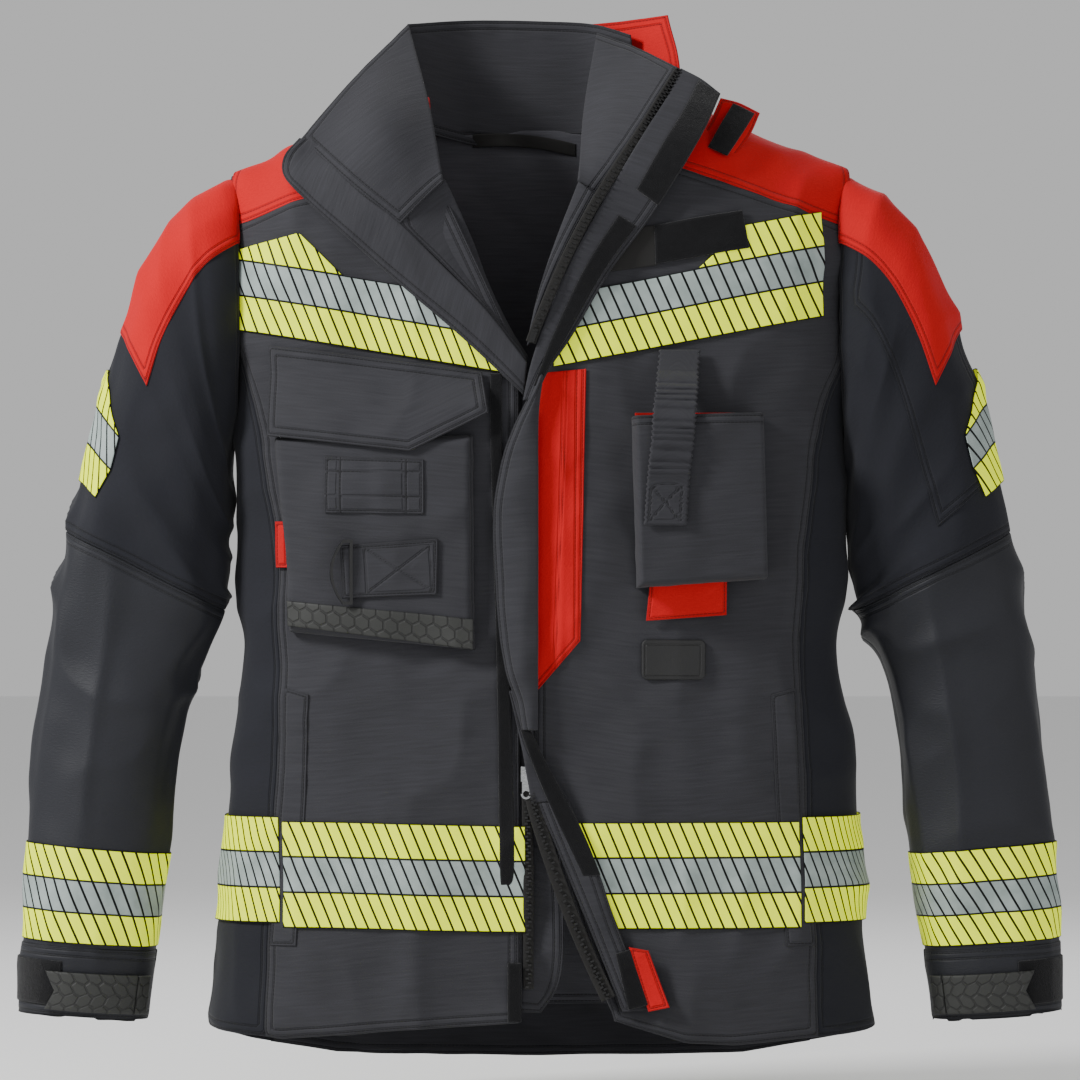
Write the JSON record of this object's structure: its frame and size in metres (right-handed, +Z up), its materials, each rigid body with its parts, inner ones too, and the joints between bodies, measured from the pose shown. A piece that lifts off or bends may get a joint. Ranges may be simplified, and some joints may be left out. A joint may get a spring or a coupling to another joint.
{
  "type": "turnout coat",
  "caption": "Firefighter's turnout coat hung by its collar loop: charcoal shell, red yokes, segmented reflective bands, storm flap, two-way zip, radio and chest pockets, adjustable cuffs.",
  "frame": {"origin": "the hanger loop at the inside back neck, where a peg carries the coat", "axes": "+Z up, the front of the coat faces -Y, +X to the right of someone facing the coat"},
  "size_m": [0.9152, 0.2177, 0.9252],
  "materials": {
    "shell_ripstop": "matt charcoal rip-stop weave",
    "stretch_navy": "matt blue-black stretch weave",
    "coated_sleeve": "soft-gloss tight twill",
    "signal_red": "matt red twill",
    "reflective_tape": "fluorescent yellow and silver segmented tape",
    "hex_rubber": "embossed hexagon grip rubber",
    "hook_loop": "black hook and loop pile",
    "black_tape": "woven black tape",
    "zip_moulding": "black moulded zip teeth on tape",
    "bare_metal": "polished die-cast metal",
    "black_metal": "black painted wire"
  },
  "bodies": {
    "coat_body": {"front_panel_left": "shell_ripstop", "front_panel_right": "shell_ripstop", "side_panel_left": "stretch_navy", "side_panel_right": "stretch_navy", "back_panel": "shell_ripstop", "back_lining": "shell_ripstop", "yoke_left": "signal_red", "yoke_right": "signal_red", "hanger_loop": "black_tape", "collar_lining": "shell_ripstop", "collar_shell": "signal_red", "collar_leaf_right": "shell_ripstop", "collar_leaf_left": "shell_ripstop", "lapel_left": "shell_ripstop", "red_placket": "signal_red", "under_flap": "shell_ripstop", "zip_half_left": "zip_moulding", "zip_half_right": "zip_moulding", "zip_tail_right": "zip_moulding", "zip_lapel_right": "zip_moulding", "storm_flap_middle": "shell_ripstop", "storm_flap_upper": "shell_ripstop", "hook_strip_upper": "hook_loop", "storm_flap_turn": "shell_ripstop", "loop_strip_long": "hook_loop", "chest_band_left": "reflective_tape", "chest_band_right": "reflective_tape", "chest_band_back": "reflective_tape", "hem_band_left": "reflective_tape", "hem_band_right": "reflective_tape", "hem_band_back": "reflective_tape", "name_loop_field": "hook_loop", "badge": "hex_rubber", "chest_pocket": "shell_ripstop", "grip_strip": "hex_rubber", "ring_tab": "shell_ripstop", "radio_pocket": "shell_ripstop", "hand_pocket_welt_left": "shell_ripstop", "hand_pocket_welt_right": "shell_ripstop"},
    "lower_flap": {"storm_flap_lower": "shell_ripstop", "flap_pull_tab": "signal_red"},
    "slider_low": {"zip_slider_lower": "bare_metal"},
    "slider_high": {"zip_slider_upper": "bare_metal"},
    "pocket_flap": {"chest_pocket_flap": "shell_ripstop"},
    "ring": {"d_ring": "black_metal"},
    "strap": {"radio_strap": "shell_ripstop"},
    "radio_tab": {"radio_pull_tab": "signal_red"},
    "closing_tab": {"collar_tab": "signal_red"},
    "upper_arm_left": {"sleeve_upper_left": "stretch_navy", "sleeve_cap_left": "signal_red", "arm_patch_left": "reflective_tape"},
    "upper_arm_right": {"sleeve_upper_right": "stretch_navy", "sleeve_cap_right": "signal_red", "arm_patch_right": "reflective_tape"},
    "forearm_left": {"sleeve_lower_left": "coated_sleeve", "sleeve_band_left": "reflective_tape"},
    "forearm_right": {"sleeve_lower_right": "coated_sleeve", "sleeve_band_right": "reflective_tape"},
    "wrist_tab_left": {"cuff_tab_left": "hex_rubber"},
    "wrist_tab_right": {"cuff_tab_right": "hex_rubber"}
  },
  "joints": [
    {"name": "shoulder_left", "type": "hinge", "parent": "coat_body", "child": "upper_arm_left", "pos_m": [-0.26, -0.07, -0.0345], "axis": [0, 1, 0], "range_deg": [0, 40]},
    {"name": "shoulder_right", "type": "hinge", "parent": "coat_body", "child": "upper_arm_right", "pos_m": [0.26, -0.07, -0.0345], "axis": [0, -1, 0], "range_deg": [0, 40]},
    {"name": "elbow_left", "type": "hinge", "parent": "upper_arm_left", "child": "forearm_left", "pos_m": [-0.346, -0.1302, -0.3825], "axis": [-1, 0, 0], "range_deg": [0, 60]},
    {"name": "elbow_right", "type": "hinge", "parent": "upper_arm_right", "child": "forearm_right", "pos_m": [0.346, -0.1302, -0.3825], "axis": [-1, 0, 0], "range_deg": [0, 60]},
    {"name": "cuff_tab_left_turn", "type": "hinge", "parent": "forearm_left", "child": "wrist_tab_left", "pos_m": [-0.35461, -0.09824, -0.75486], "axis": [0.1246, -0.0503, 0.9909], "range_deg": [0, 100]},
    {"name": "cuff_tab_right_turn", "type": "hinge", "parent": "forearm_right", "child": "wrist_tab_right", "pos_m": [0.35461, -0.09824, -0.75486], "axis": [0.1246, 0.0503, -0.9909], "range_deg": [0, 100]},
    {"name": "pocket_flap_lift", "type": "hinge", "parent": "coat_body", "child": "pocket_flap", "pos_m": [-0.1438, -0.1675, -0.1965], "axis": [-0.9893, 0.05, 0.137], "range_deg": [0, 110]},
    {"name": "ring_swing", "type": "hinge", "parent": "coat_body", "child": "ring", "pos_m": [-0.16291, -0.16893, -0.38377], "axis": [0.0009, 0.0148, 0.9999], "range_deg": [-15, 60]},
    {"name": "radio_strap_lift", "type": "hinge", "parent": "coat_body", "child": "strap", "pos_m": [0.1212, -0.1555, -0.1919], "axis": [-1, 0, 0], "range_deg": [0, 95]},
    {"name": "radio_tab_lift", "type": "hinge", "parent": "coat_body", "child": "radio_tab", "pos_m": [0.128, -0.1702, -0.3926], "axis": [-0.9928, -0.1201, 0], "range_deg": [0, 80]},
    {"name": "closing_tab_swing", "type": "hinge", "parent": "coat_body", "child": "closing_tab", "pos_m": [0.1545, -0.1145, 0.0055], "axis": [-0.39, -0.59, -0.707], "range_deg": [0, 50]},
    {"name": "lower_flap_turn", "type": "hinge", "parent": "coat_body", "child": "lower_flap", "pos_m": [0.035, -0.1676, -0.6774], "axis": [0.372, -0.011, -0.9282], "range_deg": [0, 140]},
    {"name": "lower_slider_travel", "type": "slide", "parent": "coat_body", "child": "slider_low", "axis": [0, 0, 1], "range_m": [0, 0.04]},
    {"name": "upper_slider_travel", "type": "slide", "parent": "coat_body", "child": "slider_high", "axis": [0, -0.0245, -0.9997], "range_m": [0, 0.05]}
  ]
}
